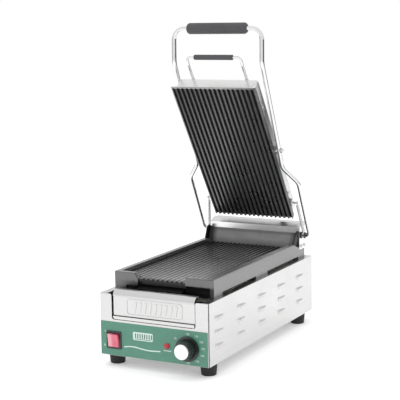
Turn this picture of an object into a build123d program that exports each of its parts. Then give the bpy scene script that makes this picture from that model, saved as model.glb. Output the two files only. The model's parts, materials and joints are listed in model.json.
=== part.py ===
"""Single slimline panini press, lid open: ribbed cast plates, bent-rod lifting arms, thermostat base.

Working axes: +X to the right, +Y to the back, +Z up, with y = 0 on the front face of the housing and
z = 0 on the worktop. Every node is moved at the end so that the origin is the bottom centre of the
whole open press. Millimetres throughout.
"""
from build123d import *
import math
import os

# ---- driving dimensions ----
HOUSING_W, HOUSING_D = 248.0, 520.0
HOUSING_BOTTOM, HOUSING_TOP = 24.0, 151.0
SHEET = 1.2
GAP = 0.3                                   # clearance between parts that only pass each other
FIT = 0.05                                  # radial running clearance of a pin in its hole
KNOB_FRONT_Y, GLAND_REAR_Y = -30.0, 532.0   # foremost and rearmost points of the press
ORIGIN_Y = (KNOB_FRONT_Y + GLAND_REAR_Y) / 2

RIB_COUNT, RIB_PITCH, RIB_HEIGHT = 18, 10.9, 4.2
RIB_TOP_W, RIB_BASE_W = 3.6, 7.0

PLATE_HALF_W, PLATE_FRONT, PLATE_REAR = 113.3, 38.5, 508.0
PLATE_BOTTOM, RIM_TOP, RIB_TOP_Z = 151.2, 188.9, 180.5
RIM_W = 12.0
CAVITY_REAR = 466.0
SHELF_Z = 171.0                             # rear shelf of the casting, under the spring housing

LID_ANGLE = 56.2                            # slope of the open grill face from horizontal
LID_REAR_Y, LID_REAR_Z = 472.5, 242.0       # rear edge of the open grill face
LID_HALF_W, LID_LENGTH = 98.0, 370.0
LID_CAST_T, LID_COVER_TOP = 15.0, 38.4      # heights above the grill face
PIVOT_T, PIVOT_N = 189.0, 16.0              # lid pivot: along the face from its rear edge, and above it

HINGE_Y, HINGE_Z = 484.0, 204.0             # axis that the arms turn on
ROD_R = 4.75
ARM_LOW_X, ARM_HIGH_X = 134.0, 104.5
BAR_Z = 673.4

KNOB_X, KNOB_Z = 77.5, 57.5
LAMP_X, LAMP_Z = 31.0, 57.6
SWITCH_X, SWITCH_Z = -91.0, 56.75
LABEL_T = 0.8
GLAND_X, GLAND_Z = -70.0, 60.0
NOTCH_X0, NOTCH_X1, NOTCH_BOTTOM = -96.0, 94.5, 98.5
SEAM_Y = 2.8                                # front edge of the side panels, behind the front panel

X_AXIS = (1, 0, 0)


# ---- helpers ----
def block(x0, x1, y0, y1, z0, z1):
    """Box between two opposite corners."""
    size = (x1 - x0, y1 - y0, z1 - z0)
    return Pos((x0 + x1) / 2, (y0 + y1) / 2, (z0 + z1) / 2) * Box(*size)


def rod_x(x0, x1, y, z, r):
    """Cylinder along X."""
    return Pos((x0 + x1) / 2, y, z) * Rot(Y=90) * Cylinder(r, x1 - x0)


def rod_y(y0, y1, x, z, r):
    """Cylinder along Y."""
    return Pos(x, (y0 + y1) / 2, z) * Rot(X=90) * Cylinder(r, y1 - y0)


def rod_z(z0, z1, x, y, r):
    """Cylinder along Z."""
    return Pos(x, y, (z0 + z1) / 2) * Cylinder(r, z1 - z0)


def cone_y(y0, y1, x, z, r0, r1):
    """Cone along Y with radius r0 at y0 and r1 at y1."""
    return Pos(x, (y0 + y1) / 2, z) * Rot(X=-90) * Cone(r0, r1, y1 - y0)


def prism_x(points, x0, x1):
    """Outline of (y, z) points drawn from x0 to x1."""
    outline = make_face(Polyline([(x0, y, z) for y, z in points], close=True))
    return extrude(outline, amount=x1 - x0, dir=X_AXIS)


def prism_y(points, y0, y1):
    """Outline of (x, z) points drawn from y0 to y1."""
    outline = make_face(Polyline([(x, y0, z) for x, z in points], close=True))
    return extrude(outline, amount=y1 - y0, dir=(0, 1, 0))


def bent_rod(points, radii, r):
    """Round rod along straight runs joined by tangent arcs."""
    path = FilletPolyline(points, radius=radii)
    return sweep(Plane(origin=path @ 0, z_dir=path % 0) * Circle(r), path=path)


def both_sides(solid):
    """A solid and its mirror image in the middle plane."""
    return [solid, mirror(solid, about=Plane.YZ)]


def corners(shape, axis, r, count=4):
    """Fillet the outermost edges that run along an axis."""
    edges = shape.edges().filter_by(axis).sort_by(SortBy.DISTANCE)[-count:]
    return fillet(edges, r)


def rib_x(i):
    return (i - (RIB_COUNT - 1) / 2) * RIB_PITCH


def rib_profile(half_width, low, high, low_w, high_w):
    """Trapezoids side by side, as (x, z) points: low_w wide at height low, high_w wide at height high."""
    points = []
    for i in range(RIB_COUNT):
        x = rib_x(i)
        points += [(x - low_w / 2, low), (x - high_w / 2, high)]
        points += [(x + high_w / 2, high), (x + low_w / 2, low)]
    return [(-half_width, low)] + points + [(half_width, low)]


def lid(shape):
    """Carry a lid part from its flat, closed layout (face down at z = 0, rear edge at y = 0) to rest."""
    return Pos(0, LID_REAR_Y, LID_REAR_Z) * Rot(X=-LID_ANGLE) * shape


def lid_point(t, n):
    """(y, z) of a point t along the open grill face and n above it."""
    slope = math.radians(LID_ANGLE)
    y = LID_REAR_Y - t * math.cos(slope) + n * math.sin(slope)
    z = LID_REAR_Z + t * math.sin(slope) + n * math.cos(slope)
    return y, z


# ---- housing ----
FLANGE_IN_X = 88.0
SCREW_R = 2.0
FOOT_X, FOOT_YS = 105.0, (34.0, 479.0)
LOUVRE_YS = [28 + 101 * i for i in range(5)]
LOUVRE_ZS = (59.0, 87.5, 116.0)
LOUVRE_LEN, LOUVRE_NOSE, LOUVRE_SKIN = 42.0, 3.0, 0.9
LOUVRE_R, LOUVRE_SUNK = 8.0, 4.8            # bulge radius, and how deep its axis lies in the panel
PLATE_SCREW_YS = (66.0, 270.0, 480.0)
PLATE_SCREW_X = 111.0


def front_panel():
    half = HOUSING_W / 2 - SHEET - 0.4
    notch = block(NOTCH_X0, NOTCH_X1, -1, 3, NOTCH_BOTTOM, HOUSING_TOP + 20)
    notch = fillet(notch.edges().filter_by(Axis.Y).group_by(Axis.Z)[0], 5)
    body = block(-half, half, 0, SHEET, HOUSING_BOTTOM, HOUSING_TOP) - notch
    top = body.edges().filter_by(Axis.Y).group_by(Axis.Z)[-1].sort_by(Axis.X)[1:3]
    body = fillet(top, 4)
    body += block(-85, 85, SHEET, 12, HOUSING_BOTTOM, HOUSING_BOTTOM + SHEET)
    cut = switch_cutout() + rod_y(-1, 3, LAMP_X, LAMP_Z, 4.7) + rod_y(-1, 3, KNOB_X, KNOB_Z, 5)
    return body - cut


def louvre(y, z, shrink):
    """Bulge with a short closed nose and a long taper to the rear, drawn in by shrink."""
    x, nose_y = HOUSING_W / 2 - LOUVRE_SUNK, y + LOUVRE_NOSE
    tip_r, crest_r = LOUVRE_SUNK - shrink, LOUVRE_R - shrink
    return cone_y(y, nose_y, x, z, tip_r, crest_r) + cone_y(nose_y, y + LOUVRE_LEN, x, z, crest_r, tip_r)


def side_panel():
    """Right side sheet with its flanges and three rows of pressed louvres, open along their lower edge."""
    outer = HOUSING_W / 2
    inner = outer - SHEET
    y0, y1 = SEAM_Y, HOUSING_D - SHEET - GAP
    panel = block(inner, outer, y0, y1, HOUSING_BOTTOM, HOUSING_TOP)
    panel += block(108, inner, y0, y1, HOUSING_TOP - SHEET, HOUSING_TOP)
    panel += block(FLANGE_IN_X, inner, 14, 506, HOUSING_BOTTOM, HOUSING_BOTTOM + SHEET)
    for y in LOUVRE_YS:
        for z in LOUVRE_ZS:
            hood = block(inner - 9, outer + 10, y, y + LOUVRE_LEN, z - 4.4, z + LOUVRE_R)
            panel += louvre(y, z, 0) & hood & block(inner, outer + 10, y, y + LOUVRE_LEN, z - 9, z + 9)
            panel -= louvre(y, z, LOUVRE_SKIN) & hood
    for y in FOOT_YS:
        panel -= rod_z(20, 30, FOOT_X, y, SCREW_R + FIT)
    for y in PLATE_SCREW_YS:
        panel -= rod_z(140, 155, PLATE_SCREW_X, y, SCREW_R + FIT)
    return panel


def rear_panel():
    half = HOUSING_W / 2
    panel = block(-half, half, HOUSING_D - SHEET, HOUSING_D, HOUSING_BOTTOM, HOUSING_TOP)
    panel += block(-85, 85, 508, HOUSING_D - SHEET, HOUSING_BOTTOM, HOUSING_BOTTOM + SHEET)
    panel -= rod_y(510, 530, GLAND_X, GLAND_Z, 8)
    for i in range(7):
        z = 80 + 8 * i
        panel -= block(10, 80, 510, 530, z, z + 3)
    return panel


def bottom_cover():
    z0 = HOUSING_BOTTOM + SHEET + 0.1
    cover = block(-118, 118, 6, 514, z0, z0 + 1)
    for i in range(9):
        y = 170 + 24 * i
        cover -= block(-45, 45, y, y + 5, z0 - 1, z0 + 2)
    for x in (-FOOT_X, FOOT_X):
        for y in FOOT_YS:
            cover -= rod_z(20, 30, x, y, SCREW_R + FIT)
    return cover


def foot(x, y):
    """Moulded rubber foot, slightly tapered, recessed for its screw."""
    body = Pos(x, y, HOUSING_BOTTOM / 2) * Cone(15.2, 17.4, HOUSING_BOTTOM)
    body = chamfer(body.edges().group_by(Axis.Z)[0], 1)
    body -= rod_z(-1, 9, x, y, 5)
    return body - rod_z(0, 30, x, y, SCREW_R + FIT)


def foot_screws():
    screws = []
    for x in (-FOOT_X, FOOT_X):
        for y in FOOT_YS:
            head = rod_z(6, 9, x, y, 4)
            screws.append(head + rod_z(9, 32, x, y, SCREW_R))
    return screws


def plate_screws():
    screws = []
    for x in (-PLATE_SCREW_X, PLATE_SCREW_X):
        for y in PLATE_SCREW_YS:
            head = rod_z(147, HOUSING_TOP - SHEET, x, y, 3.6)
            screws.append(head + rod_z(HOUSING_TOP - SHEET, 159, x, y, SCREW_R))
    return screws


# ---- control panel ----
BEZEL_HALF_W, BEZEL_HALF_H, BEZEL_FRONT = 17.0, 18.25, -3.3
POCKET_HALF_W, POCKET_HALF_H, POCKET_DEPTH = 13.5, 14.75, 12.0
ROCKER_Y, ROCKER_TILT = 4.0, 8.0


def switch_cutout():
    w, h = POCKET_HALF_W + 1.1, POCKET_HALF_H + 1.1
    return block(SWITCH_X - w, SWITCH_X + w, -2, 4, SWITCH_Z - h, SWITCH_Z + h)


def control_label():
    label = block(-122.2, 121.2, -LABEL_T, 0, HOUSING_BOTTOM + 0.6, 94)
    cut = switch_cutout() + rod_y(-2, 1, LAMP_X, LAMP_Z, 4.7) + rod_y(-2, 1, KNOB_X, KNOB_Z, 5)
    return label - cut


def switch_housing():
    w, h = BEZEL_HALF_W, BEZEL_HALF_H
    bezel = block(SWITCH_X - w, SWITCH_X + w, BEZEL_FRONT, -LABEL_T, SWITCH_Z - h, SWITCH_Z + h)
    bezel = corners(bezel, Axis.Y, 2)
    bezel = chamfer(bezel.faces().sort_by(Axis.Y)[0].edges(), 0.7)
    w, h = POCKET_HALF_W + 1, POCKET_HALF_H + 1
    bezel += block(SWITCH_X - w, SWITCH_X + w, -LABEL_T, 22, SWITCH_Z - h, SWITCH_Z + h)
    w, h = POCKET_HALF_W, POCKET_HALF_H
    bezel -= block(SWITCH_X - w, SWITCH_X + w, -5, POCKET_DEPTH, SWITCH_Z - h, SWITCH_Z + h)
    bezel -= rod_x(SWITCH_X - w - 0.6, SWITCH_X + w + 0.6, ROCKER_Y, SWITCH_Z, 1.5 + FIT)
    for z in (SWITCH_Z - 9, SWITCH_Z, SWITCH_Z + 9):
        bezel += block(SWITCH_X - 3, SWITCH_X + 3, 22, 29, z - 0.4, z + 0.4)
    return bezel


def switch_rocker():
    """Shallow V-fronted rocker on two stub pins, resting with its upper end out."""
    half = POCKET_HALF_W - 0.4
    points = [(-5.2, -13.3), (-4.2, 0), (-5.2, 13.3), (0.5, 13.6), (9, 6), (9, -6), (0.5, -13.6)]
    outline = [(y, SWITCH_Z + z) for y, z in points]
    body = prism_x(outline, SWITCH_X - half, SWITCH_X + half)
    body += rod_x(SWITCH_X - half - 0.8, SWITCH_X + half + 0.8, ROCKER_Y, SWITCH_Z, 1.5)
    pivot = Axis((0, ROCKER_Y, SWITCH_Z), X_AXIS)
    return body.rotate(pivot, ROCKER_TILT)


def lamp_body():
    return rod_y(-LABEL_T, 18, LAMP_X, LAMP_Z, 4.5) + rod_y(SHEET, 4, LAMP_X, LAMP_Z, 7)


def lamp_lens():
    """Domed red lens on a narrow rim."""
    rim = rod_y(-3.4, -LABEL_T, LAMP_X, LAMP_Z, 6)
    dome = Pos(LAMP_X, -1, LAMP_Z) * Sphere(5.6)
    return rim + (dome & rod_y(-8, -3, LAMP_X, LAMP_Z, 5.4))


def thermostat_body():
    body = block(KNOB_X - 24, KNOB_X + 24, SHEET, 2.6, KNOB_Z - 14, KNOB_Z + 14)
    body += rod_y(2.6, 26, KNOB_X, KNOB_Z, 19)
    body += block(KNOB_X - 15, KNOB_X + 15, 26, 34, KNOB_Z - 10, KNOB_Z + 10)
    return body - rod_y(0, 18, KNOB_X, KNOB_Z, 3 + FIT)


def thermostat_shaft():
    return rod_y(-22, 17, KNOB_X, KNOB_Z, 3)


def thermostat_knob():
    """Skirted knob with a fluted barrel."""
    knob = rod_y(-6, -2, KNOB_X, KNOB_Z, 25)
    knob += cone_y(-27, -6, KNOB_X, KNOB_Z, 17.5, 20.5)
    knob = chamfer(knob.edges().filter_by(GeomType.CIRCLE).sort_by(Axis.Y)[0:1], 1)
    for i in range(24):
        turn = math.radians(15 * i)
        x, z = KNOB_X + 20.6 * math.cos(turn), KNOB_Z + 20.6 * math.sin(turn)
        knob -= rod_y(-30, -6, x, z, 1.5)
    return knob - rod_y(-23, 0, KNOB_X, KNOB_Z, 3 + FIT)


def knob_cap():
    cap = rod_y(KNOB_FRONT_Y, -27, KNOB_X, KNOB_Z, 15.3)
    return chamfer(cap.edges().filter_by(GeomType.CIRCLE).sort_by(Axis.Y)[0:1], 0.8)


# ---- drip tray ----
TRAY_HALF_W, TRAY_FACE_Y, TRAY_REAR_Y = 92.5, 2.2, 33.0
TRAY_BOTTOM, TRAY_WALL_TOP = NOTCH_BOTTOM + 1.6, 146.0
LIP_TOP, FACE_BOTTOM, TROUGH_Y = 106.4, 107.6, 6.0
TRAY_BEND_Z, TRAY_BEND_R = 147.9, 12.0


def drip_tray():
    """Sheet trough behind a face that curls back at the top, with a separate lip along its foot."""
    w, y0, y1 = TRAY_HALF_W, TRAY_FACE_Y, TRAY_REAR_Y
    face = block(-w, w, y0, y0 + SHEET, FACE_BOTTOM, TRAY_BEND_Z)
    centre_y = y0 + TRAY_BEND_R - 1.2
    curl = rod_x(-w, w, centre_y, TRAY_BEND_Z, TRAY_BEND_R)
    curl -= rod_x(-w - 1, w + 1, centre_y, TRAY_BEND_Z, TRAY_BEND_R - SHEET)
    curl &= block(-w, w, -5, centre_y, TRAY_BEND_Z, TRAY_BEND_Z + 20)
    top_z = TRAY_BEND_Z + TRAY_BEND_R
    top = block(-w, w, centre_y, centre_y + 7, top_z - SHEET, top_z)
    top += block(-w, w, centre_y + 7 - SHEET, centre_y + 7, top_z - 7, top_z)
    step = block(-w, w, y0 - 1.2, y0 + SHEET, TRAY_BEND_Z - SHEET, TRAY_BEND_Z)
    lip = block(-w, w, -1.2, 0, TRAY_BOTTOM, LIP_TOP)
    lip = fillet(lip.edges().filter_by(Axis.Y).group_by(Axis.Z)[0].sort_by(Axis.X)[:1], 5)
    inner = w - 3.7
    foot_plate = block(-inner, inner, -0.6, TROUGH_Y, TRAY_BOTTOM, TRAY_BOTTOM + SHEET)
    trough = block(-inner, inner, TROUGH_Y, y1, TRAY_BOTTOM, TRAY_WALL_TOP)
    hollow = inner - SHEET
    trough -= block(-hollow, hollow, TROUGH_Y + SHEET, y1 - SHEET, TRAY_BOTTOM + SHEET, TRAY_WALL_TOP + 1)
    tray = face + step + curl + top + lip + foot_plate + trough
    for side in both_sides(block(hollow, inner, y0 + 0.5, TROUGH_Y + 0.5, FACE_BOTTOM, TRAY_WALL_TOP)):
        tray += side
    return tray


def tray_shelf():
    """Folded sheet under and behind the tray, with guides at its ends."""
    z1 = TRAY_BOTTOM - 0.1
    shelf = block(-122.5, 122.5, TROUGH_Y + 2, 37, z1 - SHEET, z1)
    shelf += block(-107, 107, 37 - SHEET, 37, z1, 140)
    for x in (NOTCH_X0, NOTCH_X1 - SHEET):
        shelf += block(x, x + SHEET, TROUGH_Y + 2, 37 - SHEET, z1, 118)
    return shelf


# ---- lower plate ----
DRAIN_X0, DRAIN_X1 = -56.0, 52.0
DRAIN_LIP_Y, DRAIN_BACK_Y = 40.5, 47.0      # front edge of the ribbed drain lip, and the wall under it
SKIRT_SLOTS = ((82, 240), (298, 466))
GUARD_Y, GUARD_T, GUARD_TOP, GUARD_LEAN = 456.8, 2.2, 210.0, 0.455
EAR_X, EAR_TOP = 104.0, 216.5               # where the guard's raised rounded ends start, and their height


def ribs(x0, x1, y0, y1):
    """Stretch of the lower plate's ribs between two x and two y."""
    valley = RIB_TOP_Z - RIB_HEIGHT
    outline = rib_profile(RIB_PITCH * RIB_COUNT / 2, valley, RIB_TOP_Z, RIB_BASE_W, RIB_TOP_W)
    closed = [(outline[0][0], valley - 1)] + outline + [(outline[-1][0], valley - 1)]
    return prism_y(closed, y0, y1) & block(x0, x1, y0, y1, valley - 1, RIB_TOP_Z)


def front_cove(x0, x1, top):
    """Scoop under the front face that fades out at its top edge, with one vertical stretch below."""
    r, depth = 12.0, 5.0
    rise = math.sqrt(r * r - (r - depth) ** 2)
    cove = rod_x(x0, x1, PLATE_FRONT + depth - r, top - rise, r)
    return cove + block(x0, x1, PLATE_FRONT - 1, PLATE_FRONT + depth, PLATE_BOTTOM - 1, top - rise)


def lower_plate():
    """Ribbed casting: raised rims, a drain mouth with a chute, a hollow underside and a rear shelf."""
    w = PLATE_HALF_W
    body = block(-w, w, PLATE_FRONT, PLATE_REAR, PLATE_BOTTOM, RIM_TOP)
    body = corners(body, Axis.Z, 7)
    body = chamfer(body.faces().sort_by(Axis.Z)[-1].edges(), 1.2)
    inner = w - RIM_W
    front_in = PLATE_FRONT + RIM_W
    valley = RIB_TOP_Z - RIB_HEIGHT
    body -= block(-inner, inner, front_in, CAVITY_REAR, valley, RIM_TOP + 1)
    body += ribs(-w, w, front_in + 4, CAVITY_REAR - 14)
    drain = [(DRAIN_X0, valley), (DRAIN_X1, valley), (DRAIN_X1 + 2, RIM_TOP + 1),
             (DRAIN_X0 - 9, RIM_TOP + 1)]
    body -= prism_y(drain, PLATE_FRONT - 1, front_in + 1)
    body += ribs(DRAIN_X0, DRAIN_X1, DRAIN_LIP_Y, front_in + 4)
    body -= block(DRAIN_X0, DRAIN_X1, PLATE_FRONT - 1, DRAIN_LIP_Y, valley - 5, valley + 1)
    body -= block(DRAIN_X0, DRAIN_X1, PLATE_FRONT - 1, DRAIN_BACK_Y, PLATE_BOTTOM - 1, valley - 3.6)
    chute = [(DRAIN_BACK_Y + 1, 163), (DRAIN_BACK_Y + 1, 166), (31, 160), (31, 157.5)]
    body += prism_x(chute, DRAIN_X0 + 3, DRAIN_X1 - 3)
    slope = [(438, RIM_TOP + 9), (438, RIM_TOP), (461, 180), (474, 176), (474, SHELF_Z),
             (PLATE_REAR + 1, SHELF_Z), (PLATE_REAR + 1, RIM_TOP + 9)]
    for side in both_sides(prism_x(slope, inner, w + 1)):
        body -= side
    body -= block(-inner, inner, CAVITY_REAR - 1, 475, 178, RIM_TOP + 1)
    body -= block(-inner, inner, 474, PLATE_REAR + 1, SHELF_Z, RIM_TOP + 1)
    body -= block(-inner, inner, front_in, 490, PLATE_BOTTOM - 1, 168)
    for y0, y1 in SKIRT_SLOTS:
        body -= block(-w - 1, w + 1, y0, y1, PLATE_BOTTOM - 1, 157.2)
    for x0, x1, top in ((-w + 30, DRAIN_X0, 163), (DRAIN_X1, w - 6, 172.5)):
        body -= front_cove(x0, x1, top)
    for x in (-PLATE_SCREW_X, PLATE_SCREW_X):
        for y in PLATE_SCREW_YS:
            body -= rod_z(150, 160, x, y, SCREW_R + FIT)
    return body


def splash_guard():
    """Leaning sheet wall behind the cooking surface; its raised ends turn forward over the rims."""
    w, z0 = PLATE_HALF_W - 0.7, RIB_TOP_Z - RIB_HEIGHT + 0.1
    y0, y1, reach, bend = GUARD_Y, GUARD_Y + GUARD_T, 40.0, 8.0
    plan = Plane.XY.offset(z0)
    wall = plan * (Pos(0, y1 - reach / 2) * RectangleRounded(2 * w, reach, bend))
    hollow = plan * (Pos(0, y0 - reach) * RectangleRounded(2 * (w - GUARD_T), 2 * reach, bend - GUARD_T))
    rise = (EAR_TOP - z0) * math.hypot(1, GUARD_LEAN)
    guard = extrude(wall - hollow, amount=rise, dir=(0, GUARD_LEAN, 1))
    side = [(436.8, z0 - 1), (450.9, 207), (454, 212.5), (459, 215.6), (464, EAR_TOP), (469, 215),
            (474.3, GUARD_TOP - 0.1), (474.3, z0 - 1)]
    guard &= prism_x(side, -w - 1, w + 1)
    guard -= block(-EAR_X, EAR_X, y0, y0 + 30, GUARD_TOP, EAR_TOP + 1)
    over_rim = [(430, z0 - 9), (430, RIM_TOP + 0.1), (438, RIM_TOP + 0.1), (461, 180.1), (474, 176.1),
                (480, 176.1), (480, z0 - 9)]
    for rim in both_sides(prism_x(over_rim, PLATE_HALF_W - RIM_W - GAP, w + 1)):
        guard -= rim
    return guard


def lower_element():
    """Tubular heater, one long hairpin with a second return."""
    z, x_out, x_in, y0, y1 = 162.5, 72.0, 24.0, 80.0, 440.0
    points = [(-x_out, y1 + 30, z), (-x_out, y0, z), (-x_in, y0, z), (-x_in, y1, z), (x_in, y1, z),
              (x_in, y0, z), (x_out, y0, z), (x_out, y1 + 30, z)]
    return bent_rod(points, 22, 4)


def element_clamps():
    clamps = []
    for y in (150, 350):
        clamps.append(block(-90, 90, y, y + 18, 156, 158.2))
    return clamps


def lower_insulation():
    return block(-98, 98, 60, 480, 139.6, 147.5)


def heat_shield():
    shield = block(-106, 106, 56, 486, 138.2, 139.4)
    for x in (-106, 106 - SHEET):
        shield += block(x, x + SHEET, 56, 486, 139.4, 148)
    return shield


def terminal_block():
    z0 = HOUSING_BOTTOM + SHEET + 1.1
    body = block(-100, -52, 440, 458, z0, z0 + 16)
    for i in range(4):
        x = -94 + 12 * i
        body -= rod_z(z0 + 8, z0 + 20, x, 449, 2.2)
        body -= rod_y(438, 460, x, z0 + 6, 2)
    return body


def cord_gland():
    """Strain-relief gland without its cord."""
    body = rod_y(HOUSING_D, HOUSING_D + 4, GLAND_X, GLAND_Z, 12.5)
    body += cone_y(HOUSING_D + 4, GLAND_REAR_Y, GLAND_X, GLAND_Z, 10.5, 8)
    body += rod_y(506, HOUSING_D, GLAND_X, GLAND_Z, 7.9)
    return body - rod_y(500, 540, GLAND_X, GLAND_Z, 5.2)


def gland_nut():
    nut = extrude(Plane.XZ * RegularPolygon(12, 6), amount=6)
    nut = Pos(GLAND_X, HOUSING_D - SHEET, GLAND_Z) * nut
    nut -= rod_y(500, HOUSING_D, GLAND_X, GLAND_Z, 7.95)
    return nut


# ---- hinge ----
BOX_HALF_W, BOX_FRONT, BOX_REAR, BOX_TOP = 112.7, 474.6, 513.0, 231.0
BUSH_R = 6.4
AXLE_END_X = 62.0


def spring_box_outline(inset):
    """(y, z) outline of the spring housing, drawn in by the sheet thickness when inset."""
    y0, y1, z1 = BOX_FRONT + inset, BOX_REAR - inset, BOX_TOP - inset
    chamfer_z = BOX_TOP - 8 - inset * 0.3
    return [(y0, SHELF_Z + 0.1), (y0, chamfer_z), (BOX_FRONT + 13, z1), (y1, z1), (y1, SHELF_Z + 0.1)]


def spring_housing():
    w = BOX_HALF_W
    shell = prism_x(spring_box_outline(0), -w, w) - prism_x(spring_box_outline(SHEET), -w + SHEET, w - SHEET)
    shell -= rod_x(-w - 1, w + 1, HINGE_Y, HINGE_Z, BUSH_R + FIT)
    for y in (484, 502):
        shell -= rod_x(-w - 1, w + 1, y, 179, SCREW_R + FIT)
    return shell


def housing_screws():
    """Cap screws through the lower corners of the spring housing into its blocks."""
    screws = []
    for y in (484, 502):
        screw = rod_x(BOX_HALF_W, BOX_HALF_W + 3, y, 179, 3.6) + rod_x(104, BOX_HALF_W, y, 179, SCREW_R)
        screws += both_sides(screw)
    return screws


def fixing_block():
    """Steel block on the casting's shelf that the spring housing is screwed to."""
    body = block(88, BOX_HALF_W - SHEET, 478, 510, SHELF_Z + 0.1, 188)
    for y in (484, 502):
        body -= rod_x(103, 120, y, 179, SCREW_R + FIT)
    return body


def hinge_bushing():
    bush = rod_x(106, BOX_HALF_W, HINGE_Y, HINGE_Z, BUSH_R)
    bush += rod_x(BOX_HALF_W, 115.2, HINGE_Y, HINGE_Z, 7.6)
    return bush - rod_x(100, 120, HINGE_Y, HINGE_Z, ROD_R + FIT)


def torsion_spring():
    """Close-wound spring that helps to lift the lid."""
    pitch, turns, r, wire = 2.7, 11, 6.25, 1.1
    coil = Helix(pitch=pitch, height=pitch * turns, radius=r, center=(72, 0, 0), direction=X_AXIS)
    coil = Pos(0, HINGE_Y, HINGE_Z) * coil
    return sweep(Plane(origin=coil @ 0, z_dir=coil % 0) * Circle(wire), path=coil, is_frenet=True)


# ---- lifting arms ----
def arm_frame():
    """One bent steel rod: axle stubs, outboard lower arms, joggles inward, upper arms and the top bar."""
    pivot_y, pivot_z = lid_point(PIVOT_T, PIVOT_N)
    rise = math.tan(math.radians(66.2))
    joggle_z, knee_z = 368.5, 600.0
    side = [(AXLE_END_X, HINGE_Y, HINGE_Z), (ARM_LOW_X, HINGE_Y, HINGE_Z), (ARM_LOW_X, 419, 333),
            (ARM_HIGH_X, pivot_y + (pivot_z - joggle_z) / rise, joggle_z),
            (ARM_HIGH_X, pivot_y + (pivot_z - knee_z) / rise, knee_z),
            (ARM_HIGH_X, 297, BAR_Z)]
    points = side + [(-x, y, z) for x, y, z in reversed(side)]
    radii = [11, 26, 26, 40, 24]
    rod = bent_rod(points, radii + radii[::-1], ROD_R)
    for x in (-ARM_HIGH_X, ARM_HIGH_X):
        rod -= rod_x(x - 8, x + 8, pivot_y, pivot_z, PIN_R + FIT)
    return rod


def handle_grip():
    """Moulded sleeve with domed ends on the top bar."""
    grip = rod_x(-71, 71, 297, BAR_Z, 12)
    grip = fillet(grip.edges().filter_by(GeomType.CIRCLE), 7)
    return grip - rod_x(-80, 80, 297, BAR_Z, ROD_R + FIT)


def arm_spacers():
    spacer = rod_x(120.4, 122.9, HINGE_Y, HINGE_Z, 7)
    return both_sides(spacer - rod_x(110, 130, HINGE_Y, HINGE_Z, ROD_R + FIT))


def axle_collars():
    collar = rod_x(AXLE_END_X + 1, AXLE_END_X + 8, HINGE_Y, HINGE_Z, 7.4)
    return both_sides(collar - rod_x(50, 80, HINGE_Y, HINGE_Z, ROD_R + FIT))


# ---- lid ----
STUD_T, STUD_N = 37.0, 15.0                 # spring stud: along the face, and above it
COVER_HALF_W, COVER_Y0, COVER_Y1 = 93.0, -4.0, -364.0
HANDLE_X, HANDLE_ROD_R = 64.0, 2.8
CLAMP_TS = (332, 356)
LUG_X0, LUG_X1, LUG_HALF = 93.4, 97.6, 9.0
LEDGE_N = 9.0                               # ledge at the casting's front, under the cover's front wall
PIN_R, STUD_R = 3.0, 2.6
FRONT_BORDER = 2.5                          # plain strip in front of the upper ribs' rounded groove ends
LEAD_X, LEAD_N, LEAD_R, LEAD_HOLE_R = 57.0, 24.0, 7.0, 5.4
STUD_END_X = 114.6


def upper_plate():
    """Grooved casting, face down: sloped front, shallow heater pocket, two lugs each side."""
    w, t = LID_HALF_W, LID_CAST_T
    top_w, front = w - 2.5, -LID_LENGTH
    groove_w = RIB_PITCH - RIB_TOP_W
    outline = rib_profile(w, 0, RIB_HEIGHT, groove_w, RIB_PITCH - RIB_BASE_W)
    body = prism_y(outline + [(top_w, t), (-top_w, t)], front, 0)
    groove_end = front + FRONT_BORDER + groove_w / 2
    border = block(-w, w, front, groove_end, 0, RIB_HEIGHT + 0.5)
    for i in range(RIB_COUNT):
        border -= rod_z(-1, RIB_HEIGHT + 1, rib_x(i), groove_end, groove_w / 2)
    body += border
    wall = front + 11
    above = [(front - 1, 0.25), (front + 6, LEDGE_N), (wall, LEDGE_N), (wall, t + 1), (front - 1, t + 1)]
    body -= prism_x(above, -w - 1, w + 1)
    body -= block(-86, 86, wall + 3, -12, 9.6, t + 1)
    for along, above, r in ((PIVOT_T, PIVOT_N, PIN_R), (STUD_T, STUD_N, STUD_R)):
        lug = block(LUG_X0, LUG_X1, -along - LUG_HALF, -along + LUG_HALF, 8, above + 7)
        lug = fillet(lug.edges().filter_by(Axis.X).group_by(Axis.Z)[-1], 6)
        lug -= rod_x(LUG_X0 - 6, LUG_X1 + 6, -along, above, r + FIT)
        for side, x in zip(both_sides(lug), (LUG_X1, -LUG_X1)):
            body += side
            body -= rod_x(x - 6, x + 6, -along, above, r + FIT)
    return body


def upper_cover():
    """Stainless pan over the heater, open downwards; its front wall comes down to the casting's ledge."""
    w, t, s, r = COVER_HALF_W, LID_CAST_T + 0.1, SHEET, 5.0
    shell = block(-w, w, COVER_Y1, COVER_Y0, LEDGE_N + 0.1, LID_COVER_TOP)
    shell = corners(shell, Axis.Z, r)
    shell = fillet(shell.faces().sort_by(Axis.Z)[-1].edges(), 3)
    hollow = block(-w + s, w - s, COVER_Y1 + s, COVER_Y0 - s, LEDGE_N - 1, LID_COVER_TOP - 3.2)
    shell -= corners(hollow, Axis.Z, r - s)
    shell -= block(-w + r, w - r, COVER_Y1 + r, COVER_Y0 - r, t, LID_COVER_TOP - s)
    shell -= block(-w - 1, w + 1, COVER_Y1 + r - 0.2, 1, LEDGE_N - 1, t)
    return shell - rod_y(-20, 5, LEAD_X, LEAD_N, LEAD_HOLE_R + FIT)


def upper_insulation():
    return block(-85, 85, -LID_LENGTH + 16, -16, 18, 30)


def upper_element():
    """Tubular heater in the casting's pocket."""
    z, x_out, x_in, y0, y1 = 13.4, 66.0, 22.0, -40.0, -330.0
    points = [(-x_out, y0, z), (-x_out, y1, z), (-x_in, y1, z), (-x_in, y0, z), (x_in, y0, z),
              (x_in, y1, z), (x_out, y1, z), (x_out, y0, z)]
    return bent_rod(points, 20, 3.5)


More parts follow.
